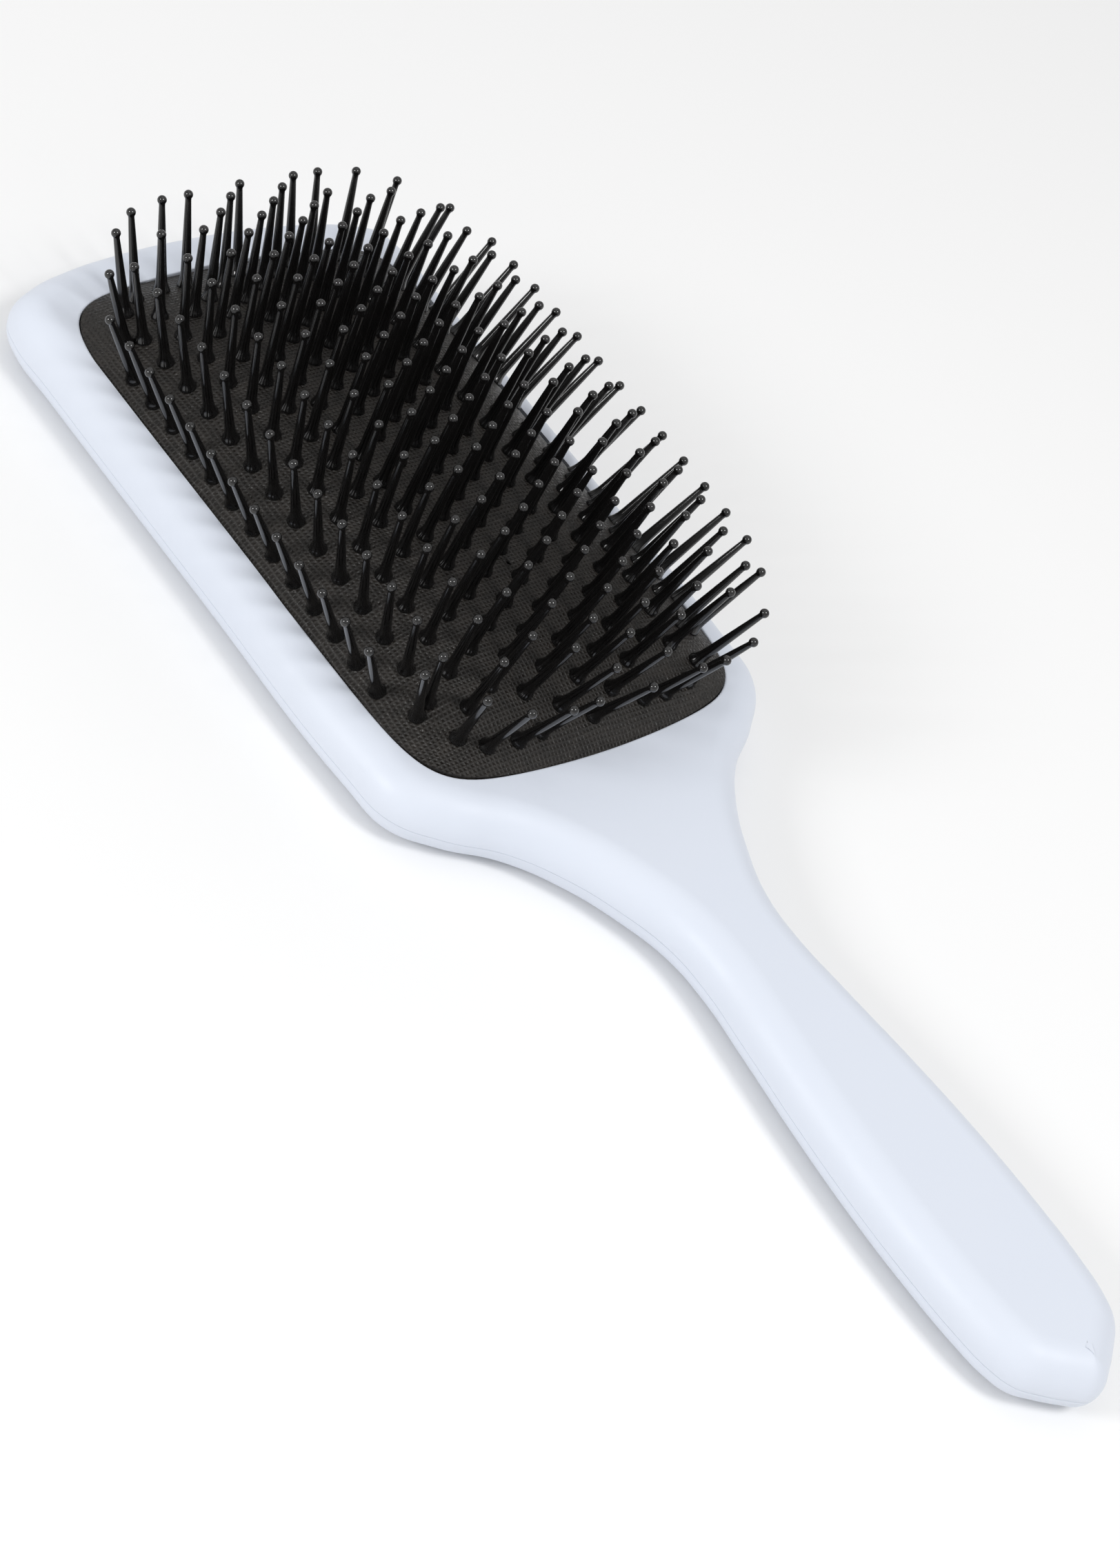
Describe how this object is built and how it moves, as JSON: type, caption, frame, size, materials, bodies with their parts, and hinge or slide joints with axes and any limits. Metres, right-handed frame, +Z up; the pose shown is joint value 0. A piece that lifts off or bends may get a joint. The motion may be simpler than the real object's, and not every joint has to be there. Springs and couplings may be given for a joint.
{
  "type": "paddle hairbrush",
  "caption": "Flat paddle hairbrush with a moulded two-shell body, a domed rubber air cushion in the head and rows of ball-tipped pins that fan outwards.",
  "frame": {"origin": "centre of the flat back's bounding box, on the surface the brush lies on", "axes": "+Y along the brush from handle to head, +Z up through the pins, +X to the head's right"},
  "size_m": [0.0838, 0.25, 0.0385],
  "materials": {
    "soft_touch_plastic": "soft-touch matte, pale bluish white",
    "cushion_rubber": "matte black with a fine woven texture",
    "pin_nylon": "smooth semi-gloss black",
    "inner_plastic": "plain moulded",
    "screw_steel": "plain zinc-plated"
  },
  "bodies": {
    "body": {"front_shell": "soft_touch_plastic", "rear_shell": "soft_touch_plastic", "cushion_frame": "inner_plastic", "backing_plate": "inner_plastic", "frame_screw_1": "screw_steel", "frame_screw_2": "screw_steel", "frame_screw_3": "screw_steel", "frame_screw_4": "screw_steel"},
    "cushion": {"cushion_membrane": "cushion_rubber"},
    "column_01": {"pin_column_01": "pin_nylon"},
    "column_02": {"pin_column_02": "pin_nylon"},
    "column_03": {"pin_column_03": "pin_nylon"},
    "column_04": {"pin_column_04": "pin_nylon"},
    "column_05": {"pin_column_05": "pin_nylon"},
    "column_06": {"pin_column_06": "pin_nylon"},
    "column_07": {"pin_column_07": "pin_nylon"},
    "column_08": {"pin_column_08": "pin_nylon"},
    "column_09": {"pin_column_09": "pin_nylon"},
    "column_10": {"pin_column_10": "pin_nylon"},
    "column_11": {"pin_column_11": "pin_nylon"},
    "column_12": {"pin_column_12": "pin_nylon"},
    "column_13": {"pin_column_13": "pin_nylon"}
  },
  "joints": [
    {"name": "cushion_press", "type": "slide", "parent": "body", "child": "cushion", "axis": [0, 0, -1], "range_m": [0, 0.0022], "stiffness_N_per_m": 4000, "deforming": ["cushion_membrane"]},
    {"name": "column_rock_01", "type": "hinge", "parent": "cushion", "child": "column_01", "pos_m": [-0.032, 0.0576, 0.01354], "axis": [0, 1, 0], "range_deg": [-8, 8], "stiffness_Nm_per_rad": 0.3},
    {"name": "column_rock_02", "type": "hinge", "parent": "cushion", "child": "column_02", "pos_m": [-0.027, 0.0576, 0.01614], "axis": [0, 1, 0], "range_deg": [-8, 8], "stiffness_Nm_per_rad": 0.3},
    {"name": "column_rock_03", "type": "hinge", "parent": "cushion", "child": "column_03", "pos_m": [-0.0216, 0.0576, 0.01788], "axis": [0, 1, 0], "range_deg": [-8, 8], "stiffness_Nm_per_rad": 0.3},
    {"name": "column_rock_04", "type": "hinge", "parent": "cushion", "child": "column_04", "pos_m": [-0.0164, 0.0576, 0.01879], "axis": [0, 1, 0], "range_deg": [-8, 8], "stiffness_Nm_per_rad": 0.3},
    {"name": "column_rock_05", "type": "hinge", "parent": "cushion", "child": "column_05", "pos_m": [-0.011, 0.0576, 0.01921], "axis": [0, 1, 0], "range_deg": [-8, 8], "stiffness_Nm_per_rad": 0.3},
    {"name": "column_rock_06", "type": "hinge", "parent": "cushion", "child": "column_06", "pos_m": [-0.0055, 0.0576, 0.01934], "axis": [0, 1, 0], "range_deg": [-8, 8], "stiffness_Nm_per_rad": 0.3},
    {"name": "column_rock_07", "type": "hinge", "parent": "cushion", "child": "column_07", "pos_m": [0, 0.0576, 0.01935], "axis": [0, 1, 0], "range_deg": [-8, 8], "stiffness_Nm_per_rad": 0.3},
    {"name": "column_rock_08", "type": "hinge", "parent": "cushion", "child": "column_08", "pos_m": [0.0055, 0.0576, 0.01934], "axis": [0, 1, 0], "range_deg": [-8, 8], "stiffness_Nm_per_rad": 0.3},
    {"name": "column_rock_09", "type": "hinge", "parent": "cushion", "child": "column_09", "pos_m": [0.011, 0.0576, 0.01921], "axis": [0, 1, 0], "range_deg": [-8, 8], "stiffness_Nm_per_rad": 0.3},
    {"name": "column_rock_10", "type": "hinge", "parent": "cushion", "child": "column_10", "pos_m": [0.0164, 0.0576, 0.01879], "axis": [0, 1, 0], "range_deg": [-8, 8], "stiffness_Nm_per_rad": 0.3},
    {"name": "column_rock_11", "type": "hinge", "parent": "cushion", "child": "column_11", "pos_m": [0.0216, 0.0576, 0.01788], "axis": [0, 1, 0], "range_deg": [-8, 8], "stiffness_Nm_per_rad": 0.3},
    {"name": "column_rock_12", "type": "hinge", "parent": "cushion", "child": "column_12", "pos_m": [0.027, 0.0576, 0.01614], "axis": [0, 1, 0], "range_deg": [-8, 8], "stiffness_Nm_per_rad": 0.3},
    {"name": "column_rock_13", "type": "hinge", "parent": "cushion", "child": "column_13", "pos_m": [0.032, 0.0576, 0.01354], "axis": [0, 1, 0], "range_deg": [-8, 8], "stiffness_Nm_per_rad": 0.3}
  ]
}
